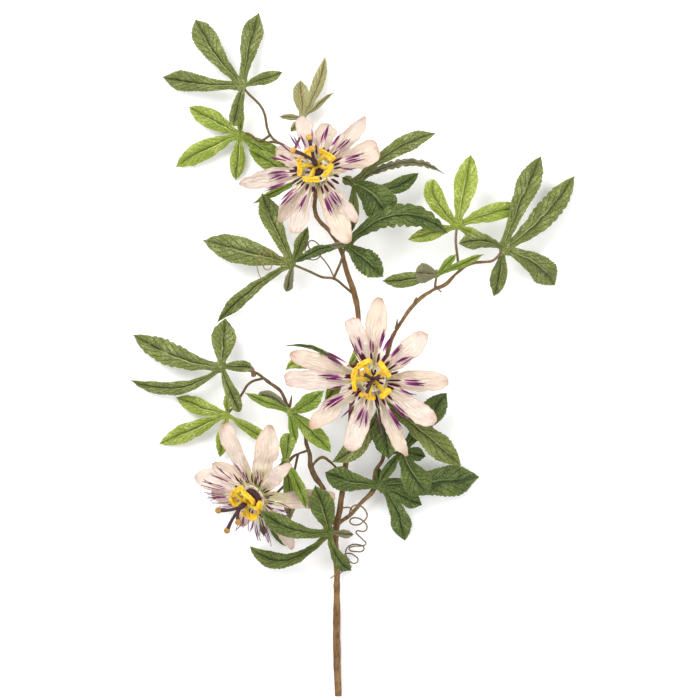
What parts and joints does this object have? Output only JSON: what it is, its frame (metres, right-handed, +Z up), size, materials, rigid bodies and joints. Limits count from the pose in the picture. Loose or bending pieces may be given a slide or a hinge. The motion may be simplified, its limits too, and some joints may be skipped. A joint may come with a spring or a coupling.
{
  "type": "passion flower spray",
  "caption": "Cut passion flower spray lying flat: a branching stem with open blooms, each with a thread corona and yellow anthers, lobed palmate leaves and a coiled tendril.",
  "frame": {"origin": "centre of the base of the bounding box, on the surface that the spray lies on", "axes": "+Y along the main stem from its cut end to the top leaf, +Z up from the surface, +X to the right seen from above"},
  "size_m": [0.312, 0.4801, 0.0784],
  "materials": {
    "leaf_dark": "matt dark green leaf cloth with a fine weave",
    "leaf_light": "matt yellow-green leaf cloth with a fine weave",
    "leaf_pale": "pale grey-green leaf underside",
    "petal": "cream petal cloth with faint pink and purple streaks",
    "sepal": "cream and yellow-green sepal cloth",
    "flower_centre": "yellow anthers and maroon styles, satin",
    "stem": "brown bark-like wrap",
    "twig": "thin olive-brown twig"
  },
  "bodies": {
    "root": {"main_stem": "stem", "right_branch": "stem", "left_branch": "stem", "lower_flower_stalk": "stem", "middle_flower_stalk": "stem", "side_twig": "twig", "tendril": "twig", "leaf_top_left": "leaf_dark", "leaf_upper_left_light": "leaf_light", "leaf_behind_upper_flower": "leaf_light", "leaf_top_pale": "leaf_pale", "leaf_upper_middle": "leaf_dark", "leaf_wavy_middle": "leaf_dark", "leaf_left_middle": "leaf_dark", "leaf_right_light": "leaf_light", "leaf_right_tip": "leaf_dark", "leaf_small_right": "leaf_pale", "leaf_far_left": "leaf_dark", "leaf_left_light": "leaf_light", "leaf_centre_left": "leaf_light", "leaf_beside_lower_flower": "leaf_light", "leaf_behind_lower_flower": "leaf_dark", "leaf_behind_middle_flower": "leaf_light", "leaf_below_middle_flower": "leaf_dark", "leaf_lower_right": "leaf_dark", "leaf_bottom_right": "leaf_dark", "leaf_bottom_left": "leaf_dark", "upper_flower_centre": "flower_centre", "upper_flower_petal_1": "petal", "upper_flower_sepal_1": "sepal", "upper_flower_petal_2": "petal", "upper_flower_sepal_2": "sepal", "upper_flower_petal_3": "petal", "upper_flower_sepal_3": "sepal", "upper_flower_petal_4": "petal", "upper_flower_sepal_4": "sepal", "upper_flower_petal_5": "petal", "upper_flower_sepal_5": "sepal", "middle_flower_centre": "flower_centre", "middle_flower_petal_1": "petal", "middle_flower_sepal_1": "sepal", "middle_flower_petal_2": "petal", "middle_flower_sepal_2": "sepal", "middle_flower_petal_3": "petal", "middle_flower_sepal_3": "sepal", "middle_flower_petal_4": "petal", "middle_flower_sepal_4": "sepal", "middle_flower_petal_5": "petal", "middle_flower_sepal_5": "sepal", "lower_flower_centre": "flower_centre", "lower_flower_petal_1": "petal", "lower_flower_sepal_1": "sepal", "lower_flower_petal_2": "petal", "lower_flower_sepal_2": "sepal", "lower_flower_petal_3": "petal", "lower_flower_sepal_3": "sepal", "lower_flower_petal_4": "petal", "lower_flower_sepal_4": "sepal", "lower_flower_petal_5": "petal", "lower_flower_sepal_5": "sepal"}
  },
  "joints": []
}
